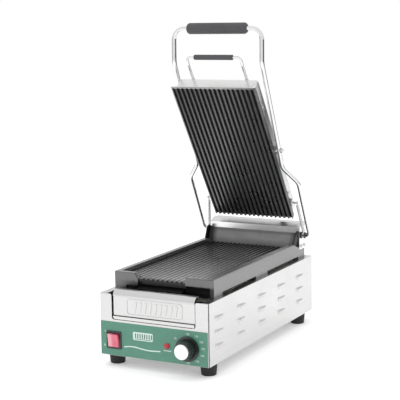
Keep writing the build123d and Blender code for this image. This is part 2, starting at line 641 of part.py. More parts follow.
def pivot_bolts():
    """Shouldered pins: the right one has an acorn nut outside the arm, the left one ends flush in it."""
    outside = ARM_HIGH_X + ROD_R
    left = rod_x(-outside + 0.6, -94, -PIVOT_T, PIVOT_N, PIN_R)
    right = rod_x(94, outside + 0.4, -PIVOT_T, PIVOT_N, PIN_R)
    right += rod_x(outside + 0.4, outside + 1.8, -PIVOT_T, PIVOT_N, 5.4)
    dome = Pos(outside + 3.4, -PIVOT_T, PIVOT_N) * Sphere(3.6)
    return [left, right + dome]


def pivot_spacers():
    washer = rod_x(LUG_X1 + 0.1, ARM_HIGH_X - ROD_R - 0.4, -PIVOT_T, PIVOT_N, 6)
    return both_sides(washer - rod_x(90, 110, -PIVOT_T, PIVOT_N, PIN_R + FIT))


def lid_lead_gland():
    """Strain relief in the cover's rear wall for the lead to the upper heater, with a hex collar."""
    gland = cone_y(0, 14, LEAD_X, LEAD_N, LEAD_R, LEAD_R - 1.2)
    collar = Pos(LEAD_X, COVER_Y0, LEAD_N) * Rot(X=-90) * extrude(RegularPolygon(LEAD_R + 1.6, 6), 4)
    inside = rod_y(COVER_Y0 - 6, COVER_Y0, LEAD_X, LEAD_N, LEAD_HOLE_R)
    return gland + collar + inside - rod_y(11, 20, LEAD_X, LEAD_N, 3.4)


def small_handle():
    """Bent wire handle that lies on the cover, then rises past its front end."""
    z = LID_COVER_TOP + HANDLE_ROD_R + 0.1
    side = [(HANDLE_X, -326, z), (HANDLE_X, -399, z), (HANDLE_X, -416.4, z + 3.6)]
    points = side + [(-x, y, z) for x, y, z in reversed(side)]
    return bent_rod(points, [12, 9, 9, 12], HANDLE_ROD_R)


def small_grip():
    z = LID_COVER_TOP + HANDLE_ROD_R + 3.7
    grip = rod_x(-46, 46, -416.4, z, 5.6)
    grip = fillet(grip.edges().filter_by(GeomType.CIRCLE), 2)
    return grip - rod_x(-50, 50, -416.4, z, HANDLE_ROD_R + FIT)


def handle_clamps():
    """Saddles that hold the wire handle's legs down on the cover."""
    z, r = LID_COVER_TOP + HANDLE_ROD_R + 0.1, HANDLE_ROD_R
    clamps = []
    for t in CLAMP_TS:
        saddle = rod_y(-t - 5, -t + 5, HANDLE_X, z, r + 1.3)
        saddle += block(HANDLE_X - 14, HANDLE_X, -t - 5, -t + 5, LID_COVER_TOP, LID_COVER_TOP + 1.3)
        saddle &= block(HANDLE_X - 20, HANDLE_X + 10, -t - 5, -t + 5, LID_COVER_TOP, z + 10)
        saddle -= rod_y(-t - 9, -t + 9, HANDLE_X, z, r + FIT)
        saddle -= rod_z(30, 50, HANDLE_X - 9.5, -t, 1.6)
        clamps += both_sides(saddle.solids().sort_by(SortBy.VOLUME)[-1])
    return clamps


def clamp_screws():
    screws = []
    for t in CLAMP_TS:
        z = LID_COVER_TOP + 1.3
        screw = rod_z(z, z + 2, HANDLE_X - 9.5, -t, 2.9) + rod_z(z - 1, z, HANDLE_X - 9.5, -t, 1.5)
        screws += both_sides(screw)
    return screws


def level_studs():
    """Grooved studs screwed into the casting's sides."""
    stud = rod_x(LUG_X0 + 0.2, STUD_END_X, -STUD_T, STUD_N, STUD_R)
    stud += rod_x(LUG_X1 + 0.1, LUG_X1 + 2.4, -STUD_T, STUD_N, 5)
    stud += rod_x(STUD_END_X - 2.2, STUD_END_X, -STUD_T, STUD_N, 3.8)
    groove = rod_x(STUD_END_X - 5.2, STUD_END_X - 2.2, -STUD_T, STUD_N, 4)
    return both_sides(stud - (groove - rod_x(100, 120, -STUD_T, STUD_N, 2)))


def cover_screws():
    screws = []
    for t in (60, 300):
        screw = rod_x(COVER_HALF_W, COVER_HALF_W + 1.8, -t, 23, 3.4)
        screws += both_sides(screw)
    return screws


def level_spring():
    """Spring from the right axle up to the lid's stud: a plain sleeve, a link and an eye at each end."""
    top_y, top_z = lid_point(STUD_T, STUD_N)
    bottom, top = Vector(119, HINGE_Y, HINGE_Z), Vector(STUD_END_X - 3.7, top_y, top_z)
    along, span = (top - bottom).normalized(), (top - bottom).length
    spring = extrude(Plane(origin=bottom + along * 9, z_dir=along) * Circle(3.7), amount=span - 15)
    for near in (6, span - 7):
        spring += extrude(Plane(origin=bottom + along * near, z_dir=along) * Circle(0.9), amount=4)
    spring += Pos(119, HINGE_Y, HINGE_Z) * Rot(Y=90) * Torus(ROD_R + 1.6, 1)
    return spring + Pos(top) * Rot(Y=90) * Torus(3.6, 0.9)


# ---- every node, in the open rest position ----
def mirrored(shape):
    return mirror(shape, about=Plane.YZ)


def nodes():
    right_panel, right_block, right_bush = side_panel(), fixing_block(), hinge_bushing()
    right_coil, right_spring = torsion_spring(), level_spring()
    parts = {
        "front_panel": front_panel(),
        "side_panel_right": right_panel,
        "side_panel_left": mirrored(right_panel),
        "rear_panel": rear_panel(),
        "bottom_cover": bottom_cover(),
        "foot_screws": foot_screws(),
        "plate_screws": plate_screws(),
        "control_label": control_label(),
        "switch_housing": switch_housing(),
        "switch_rocker": switch_rocker(),
        "lamp_body": lamp_body(),
        "lamp_lens": lamp_lens(),
        "thermostat_body": thermostat_body(),
        "thermostat_shaft": thermostat_shaft(),
        "thermostat_knob": thermostat_knob(),
        "knob_cap": knob_cap(),
        "drip_tray": drip_tray(),
        "tray_shelf": tray_shelf(),
        "lower_plate": lower_plate(),
        "splash_guard": splash_guard(),
        "lower_element": lower_element(),
        "element_clamps": element_clamps(),
        "lower_insulation": lower_insulation(),
        "heat_shield": heat_shield(),
        "terminal_block": terminal_block(),
        "cord_gland": cord_gland(),
        "gland_nut": gland_nut(),
        "spring_housing": spring_housing(),
        "housing_screws": housing_screws(),
        "fixing_block_right": right_block,
        "fixing_block_left": mirrored(right_block),
        "hinge_bushing_right": right_bush,
        "hinge_bushing_left": mirrored(right_bush),
        "torsion_spring_right": right_coil,
        "torsion_spring_left": mirrored(right_coil),
        "arm_frame": arm_frame(),
        "handle_grip": handle_grip(),
        "arm_spacers": arm_spacers(),
        "axle_collars": axle_collars(),
        "level_spring_right": right_spring,
        "level_spring_left": mirrored(right_spring),
    }
    for end, y in zip(("front", "rear"), FOOT_YS):
        parts[f"foot_{end}_right"] = foot(FOOT_X, y)
        parts[f"foot_{end}_left"] = foot(-FOOT_X, y)
    lid_parts = (upper_plate, upper_cover, upper_insulation, upper_element, pivot_bolts, pivot_spacers,
                 small_handle, small_grip, handle_clamps, clamp_screws, level_studs, cover_screws,
                 lid_lead_gland)
    for make in lid_parts:
        made = make()
        solids = made if isinstance(made, list) else [made]
        parts[make.__name__] = [lid(solid) for solid in solids]
    return parts


def main():
    os.makedirs("parts", exist_ok=True)
    to_origin = Pos(0, -ORIGIN_Y, 0)
    for name, shape in nodes().items():
        pieces = shape if isinstance(shape, list) else [shape]
        solids = [to_origin * solid for piece in pieces for solid in piece.solids()]
        node = solids[0] if len(solids) == 1 else Compound(children=solids)
        export_step(node, f"parts/{name}.step")


main()
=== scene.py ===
"""Looks for the panini press: materials, small printed and wound details, floor, light and camera.

Metres, +X right, +Y back, +Z up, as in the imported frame. The lid is open at rest.
"""
import json
import math

import bpy
from mathutils import Matrix, Vector


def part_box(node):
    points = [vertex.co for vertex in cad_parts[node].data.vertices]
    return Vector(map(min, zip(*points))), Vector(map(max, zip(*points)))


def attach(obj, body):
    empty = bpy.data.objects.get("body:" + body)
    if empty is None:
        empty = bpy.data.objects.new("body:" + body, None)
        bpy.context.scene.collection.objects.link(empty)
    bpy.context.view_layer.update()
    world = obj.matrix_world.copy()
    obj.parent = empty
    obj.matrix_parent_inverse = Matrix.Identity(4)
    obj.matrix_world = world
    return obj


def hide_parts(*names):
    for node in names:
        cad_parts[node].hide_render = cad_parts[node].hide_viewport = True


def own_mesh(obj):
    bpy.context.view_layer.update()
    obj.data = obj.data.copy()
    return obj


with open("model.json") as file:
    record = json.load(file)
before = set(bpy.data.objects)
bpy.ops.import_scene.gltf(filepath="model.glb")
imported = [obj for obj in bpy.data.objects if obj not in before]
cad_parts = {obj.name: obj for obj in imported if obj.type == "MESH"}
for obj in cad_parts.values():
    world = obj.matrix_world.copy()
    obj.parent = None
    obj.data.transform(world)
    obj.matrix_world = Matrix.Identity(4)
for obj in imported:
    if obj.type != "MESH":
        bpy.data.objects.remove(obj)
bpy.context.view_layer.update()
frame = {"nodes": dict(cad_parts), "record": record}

MM = 0.001
FRONT_FACE_Y = -251                # row-frame y of the front panel's face, in millimetres
NOISE_LOW, NOISE_HIGH = 0.3, 0.7   # most of a noise texture's values lie between these
NODES = frame["nodes"]
RECORD = frame["record"]


# ---------- small helpers ----------
def linear(r, g, b):
    """sRGB 0-255 to linear RGBA."""
    out = []
    for c in (r, g, b):
        c /= 255
        out.append(c / 12.92 if c <= 0.04045 else ((c + 0.055) / 1.055) ** 2.4)
    return (*out, 1.0)


def gray(level, blue=0.0):
    """Linear gray RGBA, its blue raised or lowered by a touch."""
    return (level, level, level + blue, 1.0)


def darker(color, share):
    """The same RGBA colour with its light cut to a share."""
    return tuple(c * share for c in color[:3]) + (1.0,)


def stretched(along, across, lengthwise):
    """Texture scales for a grain that runs along one axis."""
    return tuple(lengthwise if letter == along else across for letter in "XYZ")


def front_mm(x, y, z):
    """Row-frame point in metres from millimetres measured from the front panel's face."""
    return Vector((x, y + FRONT_FACE_Y, z)) * MM


def middle(node):
    """Centre of a CAD node's box."""
    low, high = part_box(node)
    return (low + high) / 2


class Shader:
    """A node tree built in a few readable steps."""

    def __init__(self, name):
        self.mat = bpy.data.materials.new(name)
        self.mat.use_nodes = True
        self.tree = self.mat.node_tree
        self.bsdf = self.tree.nodes["Principled BSDF"]

    def node(self, kind, **settings):
        made = self.tree.nodes.new(kind)
        for key, value in settings.items():
            setattr(made, key, value)
        return made

    def link(self, out, into):
        self.tree.links.new(out, into)

    def feed(self, value, into):
        """Link an output to a socket, or set a plain value on it."""
        if isinstance(value, bpy.types.NodeSocket):
            self.link(value, into)
        else:
            into.default_value = value

    def coords(self):
        return self.node("ShaderNodeTexCoord").outputs["Object"]

    def separate(self):
        """Object coordinates as a letter to value table."""
        split = self.node("ShaderNodeSeparateXYZ")
        self.link(self.coords(), split.inputs[0])
        return {letter: split.outputs[letter] for letter in "XYZ"}

    def place(self, scale=(1, 1, 1)):
        """Object coordinates, stretched."""
        mapping = self.node("ShaderNodeMapping")
        mapping.inputs["Scale"].default_value = scale
        self.link(self.coords(), mapping.inputs["Vector"])
        return mapping.outputs["Vector"]

    def noise(self, vector, scale, detail=3.0, roughness=0.55):
        made = self.node("ShaderNodeTexNoise")
        made.inputs["Scale"].default_value = scale
        made.inputs["Detail"].default_value = detail
        made.inputs["Roughness"].default_value = roughness
        self.link(vector, made.inputs["Vector"])
        return made.outputs["Fac"]

    def remap(self, value, low, high, from_low=NOISE_LOW, from_high=NOISE_HIGH):
        made = self.node("ShaderNodeMapRange")
        made.inputs["From Min"].default_value = from_low
        made.inputs["From Max"].default_value = from_high
        made.inputs["To Min"].default_value = low
        made.inputs["To Max"].default_value = high
        self.link(value, made.inputs["Value"])
        return made.outputs["Result"]

    def above(self, value, start=NOISE_LOW, end=NOISE_HIGH):
        """0 up to the start, rising to 1 at the end."""
        return self.remap(value, 0.0, 1.0, start, end)

    def below(self, value, start, end):
        """1 up to the start, falling to 0 at the end."""
        return self.remap(value, 1.0, 0.0, start, end)

    def mix(self, factor, a, b):
        made = self.node("ShaderNodeMix", data_type="RGBA")
        self.feed(a, made.inputs["A"])
        self.feed(b, made.inputs["B"])
        self.link(factor, made.inputs["Factor"])
        return made.outputs["Result"]

    def number(self, operation, *values):
        """One step of arithmetic on sockets and plain numbers."""
        made = self.node("ShaderNodeMath", operation=operation)
        for socket, value in zip(made.inputs, values):
            self.feed(value, socket)
        return made.outputs["Value"]

    def vector(self, operation, *values):
        """One step of vector arithmetic on sockets and plain vectors."""
        made = self.node("ShaderNodeVectorMath", operation=operation)
        for socket, value in zip(made.inputs, values):
            self.feed(value, socket)
        return made.outputs["Value" if operation in ("DOT_PRODUCT", "LENGTH") else "Vector"]

    def product(self, first, *others):
        for other in others:
            first = self.number("MULTIPLY", first, other)
        return first

    def bump(self, height, strength, distance, normal=None):
        made = self.node("ShaderNodeBump")
        made.inputs["Strength"].default_value = strength
        made.inputs["Distance"].default_value = distance
        self.link(height, made.inputs["Height"])
        if normal is not None:
            self.link(normal, made.inputs["Normal"])
        return made.outputs["Normal"]

    def soft_edges(self, radius):
        """Normal of a slightly rounded edge."""
        made = self.node("ShaderNodeBevel", samples=4)
        made.inputs["Radius"].default_value = radius
        return made.outputs["Normal"]

    def edge_mask(self, radius):
        """1 on convex edges, 0 on flats, by how far the rounded normal leans from the true one."""
        true = self.node("ShaderNodeNewGeometry").outputs["Normal"]
        agreement = self.vector("DOT_PRODUCT", self.soft_edges(radius), true)
        return self.below(agreement, 0.75, 0.995)

    def base(self, color, metallic, roughness, normal=None, **plain):
        """Fill the shader in and hand back the material."""
        sockets = self.bsdf.inputs
        self.link(color, sockets["Base Color"])
        sockets["Metallic"].default_value = metallic
        self.feed(roughness, sockets["Roughness"])
        if normal is not None:
            self.link(normal, sockets["Normal"])
        for name, value in plain.items():
            sockets[name.replace("_", " ")].default_value = value
        return self.mat


# ---------- materials ----------
IRON_DARK, IRON_PALE = gray(0.27, 0.003), gray(0.38, 0.003)
# The second tone is a painted shade, for the rib grooves and for the rib tops towards the left.
IRON_WORN, IRON_SHADE = gray(0.60), gray(0.010, 0.001)
LID_SLOPE = math.radians(56.2)
LID_NORMAL = (0, -math.sin(LID_SLOPE), -math.cos(LID_SLOPE))
LID_EDGE = (0, 0.2215, 0.242)      # a point on the lid's ribbed face, at rest
RIB_TOP_Z = 0.1805
RIB_DEPTH = 0.0042
RIB_EDGE = 0.0002                  # the ribs' tone fades out over this far either side of their box

# Spans in row-frame metres over which a tone sets in or dies away.
# Spans of the painted reflection along the rib tops.
LOWER_CREST_Y, UPPER_CREST_Z = (-0.20, 0.03), (0.55, 0.24)
# Span of the painted shade on the rib tops towards the left.
LEFT_SHADE_X = (-0.1, 0.06)
# Spans of painted shade: the castings' right sides, the lower casting's front, its low front and its
# mouth.
LOWER_RIGHT_X, UPPER_RIGHT_X = (0.1118, 0.1128), (0.0955, 0.0959)
LOWER_FRONT_Y = (-0.2070, -0.2055)
FRONT_SHADE_X, FRONT_SHADE_Z = (-0.095, -0.055), (0.1735, 0.1805)
MOUTH_LEFT_X, MOUTH_RIGHT_X = (-0.0575, -0.0555), (0.0515, 0.0535)
MOUTH_BACK_Y, MOUTH_TOP_Z = (-0.1996, -0.1992), (0.1768, 0.1786)
# The first span places the painted shadow along the guard's foot.
GUARD_FOOT_Z, GUARD_TOP_Z, GUARD_END_X = (0.179, 0.193), (0.203, 0.2055), (0.090, 0.107)
# Height above which the spring housing takes a painted shade.
BOX_FACET_Z = (0.2228, 0.2232)

# Boxes that hold the ribs of each casting.
LOWER_RIBS = front_mm(-101.1, 50.5, 150), front_mm(101.1, 456, 190)
UPPER_RIBS = front_mm(-95.5, 100, 200), front_mm(95.5, 600, 545.9)


def brushed_sheet(name, along, tone, rough=0.30, facet=None):
    """Stainless sheet brushed along one axis, faintly blotched, and, when asked, a painted shade, a
    darker tone, above a given height.
    """
    s = Shader(name)
    grain = s.noise(s.place(stretched(along, 900.0, 9.0)), 1.0, 4.0, 0.7)
    streaks = s.noise(s.place(stretched(along, 150.0, 2.0)), 1.0, 2.0, 0.5)
    clouds = s.noise(s.place(), 9.0, 3.0, 0.6)
    dark, pale = gray(tone * 0.90, tone * -0.005), gray(tone, tone * -0.008)
    color = s.mix(s.above(grain), dark, pale)
    color = s.mix(s.remap(streaks, 0.0, 0.5), color, gray(tone * 0.95))
    # Painted shade: a darker tone above the given height.
    if facet:
        heights, shade_color = facet
        color = s.mix(s.above(s.separate()["Z"], *heights), color, shade_color)
    rough_map = s.remap(clouds, rough - 0.05, rough + 0.07)
    normal = s.bump(grain, 0.16, 0.00004, s.soft_edges(0.0006))
    return s.base(color, 1.0, rough_map, normal, Anisotropic=0.35)


def chrome(name, tone=0.80, rough=0.07):
    """Plated metal with faint handling marks."""
    s = Shader(name)
    smudge = s.noise(s.place(), 38.0, 4.0, 0.65)
    fine = s.noise(s.place(), 900.0, 2.0, 0.6)
    rough_map = s.remap(smudge, rough, rough + 0.09, 0.35, 0.75)
    normal = s.bump(fine, 0.03, 0.00003, s.soft_edges(0.0003))
    color = s.mix(s.above(smudge), gray(tone, tone * 0.01), gray(tone * 0.93, tone * 0.01))
    return s.base(color, 1.0, rough_map, normal)


def ribbed_iron(name, face_point, face_normal, ribs, axis, span, crests, groove_shade):
    """Casting with a ground skin and, inside a box, ribs whose tops carry a painted reflection that runs
    from one tone to another along an axis, and a painted shade towards the left.

    The grooves between the ribs and the slopes below the tops take a painted shade, and every edge is
    worn bright. Hands back the shader, its colour, roughness and normal so far, and the coordinates.
    """
    s = Shader(name)
    place = s.separate()
    skin = s.noise(s.place(), 620.0, 4.0, 0.65)
    film = s.noise(s.place((1, 0.35, 1)), 16.0, 4.0, 0.6)
    blotch = s.noise(s.place(), 55.0, 4.0, 0.6)
    height = s.vector("DOT_PRODUCT", s.vector("SUBTRACT", s.coords(), face_point), face_normal)
    # Painted shade in the grooves and on the rib slopes below the tops.
    in_groove = s.below(height, -RIB_DEPTH, -0.2 * RIB_DEPTH)
    color = s.mix(s.above(film), IRON_DARK, IRON_PALE)
    color = s.mix(s.remap(blotch, 0.0, 0.35), color, IRON_DARK)
    worn = s.remap(s.edge_mask(0.0012), 0.0, 0.5, 0.0, 1.0)
    color = s.mix(worn, color, IRON_WORN)
    limits = []
    for letter, least, most in zip("XYZ", *ribs):
        limits.append(s.above(place[letter], least - RIB_EDGE, least + RIB_EDGE))
        limits.append(s.below(place[letter], most - RIB_EDGE, most + RIB_EDGE))
    # Painted reflection: the rib tops' tone runs along the axis.
    crest = s.mix(s.above(place[axis], *span), *crests)
    # Painted shade: the rib tops darken towards the left.
    left_shade = s.remap(place["X"], 0.55, 0.0, *LEFT_SHADE_X)
    crest = s.mix(left_shade, crest, IRON_SHADE)
    color = s.mix(s.product(*limits), color, s.mix(in_groove, crest, groove_shade))
    rough_map = s.remap(film, 0.34, 0.24)
    normal = s.bump(skin, 0.22, 0.00012, s.soft_edges(0.0009))
    return s, color, rough_map, normal, place


def lower_iron(name):
    """The lower casting: a painted shade on its right side and a deeper one on its front, and a darker
    painted shade low on the front, ragged along its top, and round its mouth.
    """
    # Rib tops lighter at the front and darker at the back, a painted reflection; grooves in a painted
    # shade.
    s, color, rough_map, normal, place = ribbed_iron(
        name, (0, 0, RIB_TOP_Z), (0, 0, 1), LOWER_RIBS, "Y", LOWER_CREST_Y,
        (gray(0.48, 0.002), gray(0.10, 0.001)), IRON_SHADE)
    # Painted shade: the right side darker, the front darker still.
    right_side = s.above(place["X"], *LOWER_RIGHT_X)
    color = s.mix(right_side, color, gray(0.25, 0.002))
    front = s.below(place["Y"], *LOWER_FRONT_Y)
    color = s.mix(front, color, gray(0.17, 0.002))
    # Painted shade low on the front, ragged along its top and growing towards the right, and in the
    # mouth.
    ragged_noise = s.noise(s.place((1, 1, 0.25)), 70.0, 4.0, 0.6)
    ragged_height = s.number("MULTIPLY_ADD", ragged_noise, 0.010, place["Z"])
    low_down = s.below(ragged_height, *FRONT_SHADE_Z)
    towards_right = s.remap(place["X"], 0.15, 1.0, *FRONT_SHADE_X)
    tone_mask = s.product(front, low_down, towards_right)
    mouth = s.product(s.above(place["X"], *MOUTH_LEFT_X), s.below(place["X"], *MOUTH_RIGHT_X),
                      s.below(place["Y"], *MOUTH_BACK_Y), s.below(place["Z"], *MOUTH_TOP_Z))
    color = s.mix(s.number("MAXIMUM", tone_mask, mouth), color, gray(0.040, 0.001))
    return s.base(color, 0.9, rough_map, normal)


def upper_iron(name):
    """The lid's casting, with a painted shade, a darker tone, on its right side."""
    # Rib tops darker high up and lighter low down, a painted reflection; grooves in a painted shade.
    s, color, rough_map, normal, place = ribbed_iron(
        name, LID_EDGE, LID_NORMAL, UPPER_RIBS, "Z", UPPER_CREST_Z,
        (gray(0.13, 0.001), gray(0.40, 0.002)), gray(0.032, 0.001))
    # Painted shade: the right side darker.
    right_side = s.above(place["X"], *UPPER_RIGHT_X)
    color = s.mix(right_side, color, gray(0.20, 0.002))
    return s.base(color, 0.9, rough_map, normal)


def guard_sheet(name):
    """Dull coated sheet with a painted shadow along its foot, nearly black on its turned ends."""
    s = Shader(name)
    place = s.separate()
    tone_mask = s.noise(s.place((1, 1, 2)), 24.0, 4.0, 0.6)
    fine = s.noise(s.place(), 800.0, 3.0, 0.6)
    # Painted shadow along the foot, where the ribs end.
    foot = s.remap(place["Z"], 0.7, 0.0, *GUARD_FOOT_Z)
    top = s.remap(place["Z"], 0.0, 0.5, *GUARD_TOP_Z)
    ends = s.remap(s.number("ABSOLUTE", place["X"]), 0.0, 0.95, *GUARD_END_X)
    color = s.mix(s.above(tone_mask), gray(0.17, 0.002), gray(0.25, 0.002))
    color = s.mix(foot, color, gray(0.06))
    color = s.mix(top, color, gray(0.09))
    color = s.mix(ends, color, gray(0.02))
    normal = s.bump(fine, 0.12, 0.00008, s.soft_edges(0.0007))
    return s.base(color, 0.9, s.remap(tone_mask, 0.36, 0.46), normal)


def moulded(name, color, rough, grain=0.12, coat=0.0, scale=900.0):
    """Moulded plastic or rubber with a fine texture and slight tone change."""
    s = Shader(name)
    fine = s.noise(s.place(), scale, 3.0, 0.6)
    broad = s.noise(s.place(), 30.0, 3.0, 0.5)
    mixed = s.mix(s.above(broad), color, darker(color, 0.82))
    rough_map = s.remap(broad, rough - 0.04, rough + 0.05)
    normal = s.bump(fine, grain, 0.00008, s.soft_edges(0.0005))
    return s.base(mixed, 0.0, rough_map, normal, Coat_Weight=coat, Coat_Roughness=0.08)


def lamp_plastic(name, color, deep):
    """Translucent coloured plastic with a little light of its own."""
    s = Shader(name)
    broad = s.noise(s.place(), 60.0, 2.0, 0.5)
    fine = s.noise(s.place(), 700.0, 2.0, 0.5)
    normal = s.bump(fine, 0.04, 0.00005, s.soft_edges(0.0006))
    s.bsdf.inputs["Emission Color"].default_value = color
    return s.base(s.mix(s.above(broad), color, deep), 0.0, 0.08, normal, Coat_Weight=0.6,
                  Coat_Roughness=0.06, Transmission_Weight=0.15, Emission_Strength=0.10)


def rocker_plastic(name, left, right):
    """Translucent rocker: a pale, frosted painted highlight along its left edge and a deep red painted
    shade along its right.
    """
    s = Shader(name)
    across, width = s.separate()["X"], right - left
    frost = s.noise(s.place((1, 1, 0.3)), 900.0, 2.0, 0.6)
    broad = s.noise(s.place(), 60.0, 2.0, 0.5)
    color = s.mix(s.above(broad), linear(222, 112, 132), linear(204, 92, 114))
    # Painted highlight: a pale band along the left edge.
    pale = s.mix(s.above(frost), linear(236, 178, 186), linear(216, 132, 148))
    color = s.mix(s.below(across, left + 0.22 * width, left + 0.46 * width), color, pale)
    # Painted shade: deep red along the right edge.
    right_edge = s.above(across, right - 0.16 * width, right - 0.10 * width)
    color = s.mix(right_edge, color, linear(150, 18, 40))
    normal = s.bump(frost, 0.06, 0.00005, s.soft_edges(0.0006))
    return s.base(color, 0.0, 0.22, normal, Coat_Weight=0.5, Coat_Roughness=0.08)


def spun_disc(name, centre):
    """Bright metal face with fine turning rings round its centre."""
    s = Shader(name)
    offset = s.vector("SUBTRACT", s.coords(), tuple(centre))
    radius = s.vector("LENGTH", s.vector("MULTIPLY", offset, (1, 0, 1)))
    rings = s.node("ShaderNodeTexNoise", noise_dimensions="1D")
    rings.inputs["Scale"].default_value = 2200.0
    s.link(radius, rings.inputs["W"])
    color = s.mix(s.above(rings.outputs["Fac"]), gray(0.93), gray(0.84))
    normal = s.bump(rings.outputs["Fac"], 0.12, 0.00004, s.soft_edges(0.0004))
    return s.base(color, 0.6, 0.34, normal)


def fibre_board(name):
    s = Shader(name)
    fibres = s.noise(s.place((1, 4, 1)), 240.0, 5.0, 0.7)
    color = s.mix(s.above(fibres), (0.80, 0.77, 0.70, 1), (0.64, 0.60, 0.52, 1))
    return s.base(color, 0.0, 0.95, s.bump(fibres, 0.5, 0.0004))


def heater_sheath(name):
    """Heat-tinted steel sheath, straw to blue along its length."""
    s = Shader(name)
    tint = s.noise(s.place(), 22.0, 3.0, 0.5)
    color = s.mix(s.above(tint), (0.30, 0.22, 0.14, 1), (0.16, 0.17, 0.24, 1))
    fine = s.noise(s.place(), 500.0, 3.0, 0.6)
    return s.base(color, 1.0, 0.42, s.bump(fine, 0.1, 0.0001))


def label_film(name):
    """Printed green overlay under a satin film."""
    s = Shader(name)
    mottle = s.noise(s.place(), 90.0, 3.0, 0.5)
    fine = s.noise(s.place(), 1500.0, 2.0, 0.5)
    color = s.mix(s.above(mottle), linear(74, 129, 109), linear(78, 134, 113))
    normal = s.bump(fine, 0.05, 0.00004)
    return s.base(color, 0.0, 0.36, normal, Coat_Weight=0.25, Coat_Roughness=0.22)


def ink(name, color):
    s = Shader(name)
    fine = s.noise(s.place(), 1200.0, 2.0, 0.5)
    mixed = s.mix(s.above(fine), color, darker(color, 0.93))
    return s.base(mixed, 0.0, 0.5, s.bump(fine, 0.05, 0.00003))


# ---------- assign CAD nodes ----------
def dress(material, *names):
    for name in names:
        mesh = NODES[name].data
        mesh.materials.clear()
        mesh.materials.append(material)


ROCKER_LOW, ROCKER_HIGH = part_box("switch_rocker")
SHEET_X = brushed_sheet("sheet_brushed_across", "X", 0.68)
BRIGHT_WIRE = chrome("bright_spring_wire", 0.86, 0.14)

dress(SHEET_X, "front_panel", "rear_panel", "drip_tray", "tray_shelf")
# Spring housing: a lighter sheet than the others, a painted highlight on its front face, and a painted
# shade on its upper face.
dress(brushed_sheet("sheet_brushed_box", "X", 0.95, facet=(BOX_FACET_Z, gray(0.72, 0.002))),
      "spring_housing")
dress(brushed_sheet("sheet_brushed_along", "Y", 0.71), "side_panel_left", "side_panel_right")
dress(brushed_sheet("sheet_brushed_lid", "X", 0.84, 0.28), "upper_cover")
dress(brushed_sheet("plain_steel", "Y", 0.58, 0.42),
      "bottom_cover", "heat_shield", "element_clamps", "thermostat_body",
      "fixing_block_left", "fixing_block_right")
dress(chrome("chrome_rod"), "arm_frame", "small_handle", "level_studs", "pivot_bolts")
dress(chrome("plated_fixings", 0.72, 0.22),
      "foot_screws", "plate_screws", "housing_screws", "clamp_screws", "cover_screws",
      "pivot_spacers", "thermostat_shaft", "axle_collars", "handle_clamps")
dress(chrome("spring_wire", 0.42, 0.28),
      "torsion_spring_left", "torsion_spring_right", "level_spring_left", "level_spring_right")
dress(lower_iron("lower_cast_iron"), "lower_plate")
dress(upper_iron("upper_cast_iron"), "upper_plate")
dress(guard_sheet("coated_guard_sheet"), "splash_guard")
dress(moulded("black_plastic", linear(24, 24, 26), 0.24, 0.05, 0.35),
      "switch_housing", "thermostat_knob", "terminal_block", "cord_gland", "gland_nut",
      "lamp_body", "lid_lead_gland")
dress(moulded("dull_black_nylon", linear(34, 34, 35), 0.5),
      "hinge_bushing_left", "hinge_bushing_right", "arm_spacers")
dress(moulded("grip_rubber", linear(74, 74, 77), 0.62, 0.35, 0.0, 500.0), "handle_grip", "small_grip")
dress(moulded("foot_rubber", linear(20, 20, 22), 0.6, 0.3),
      "foot_front_left", "foot_front_right", "foot_rear_left", "foot_rear_right")
dress(label_film("label_film"), "control_label")
dress(rocker_plastic("rocker_red", ROCKER_LOW.x, ROCKER_HIGH.x), "switch_rocker")
dress(lamp_plastic("lamp_red", linear(196, 32, 48), linear(150, 16, 30)), "lamp_lens")
dress(spun_disc("spun_disc", middle("thermostat_knob")), "knob_cap")
dress(fibre_board("fibre_board"), "lower_insulation", "upper_insulation")
dress(heater_sheath("heater_sheath"), "lower_element", "upper_element")


# ---------- fine pieces ----------
def piece(name, points, faces, material, body, slot, smooth=False):
    """A closed mesh that rides a body and wears the material it is given."""
    mesh = bpy.data.meshes.new(name)
    mesh.from_pydata([tuple(p) for p in points], [], faces)
    mesh.materials.append(material)
    for polygon in mesh.polygons:
        polygon.use_smooth = smooth
    made = bpy.data.objects.new(name, mesh)
    bpy.context.scene.collection.objects.link(made)
    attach(made, body)
    return made


def plates(outlines, y_front, y_back):
    """Thin solids from closed (x, z) outlines, between two y, all in front-panel millimetres."""
    points, faces = [], []
    for outline in outlines:
        area = sum(a[0] * b[1] - b[0] * a[1] for a, b in zip(outline, outline[1:] + outline[:1]))
        if area < 0:
            outline = outline[::-1]
        start, count = len(points), len(outline)
        for y in (y_front, y_back):
            points += [front_mm(x, y, z) for x, z in outline]
        front = list(range(start, start + count))
        faces += [tuple(front), tuple(i + count for i in reversed(front))]
        for i, j in zip(front, front[1:] + front[:1]):
            faces.append((i, i + count, j + count, j))
    return points, faces


def stroke(line, width):
    """Outline of an open (x, z) line drawn with a pen of one width."""
    left, right = [], []
    for i, (x, z) in enumerate(line):
        before, after = line[max(i - 1, 0)], line[min(i + 1, len(line) - 1)]
        dx, dz = after[0] - before[0], after[1] - before[1]
        reach = width / 2 / math.hypot(dx, dz)
        left.append((x - dz * reach, z + dx * reach))
        right.append((x + dz * reach, z - dx * reach))
    return left + right[::-1]


def bar(x0, x1, z0, z1):
    return [(x0, z0), (x1, z0), (x1, z1), (x0, z1)]


def arc(x, z, r, first, last, count):
    turns = [math.radians(first + (last - first) * i / (count - 1)) for i in range(count)]
    return [(x + r * math.cos(a), z + r * math.sin(a)) for a in turns]


def rounded(x0, x1, z0, z1, r):
    """Closed outline of a rectangle with round corners."""
    corners = ((x1 - r, z1 - r, 0), (x0 + r, z1 - r, 90), (x0 + r, z0 + r, 180), (x1 - r, z0 + r, 270))
    return [point for x, z, turn in corners for point in arc(x, z, r, turn, turn + 90, 5)]


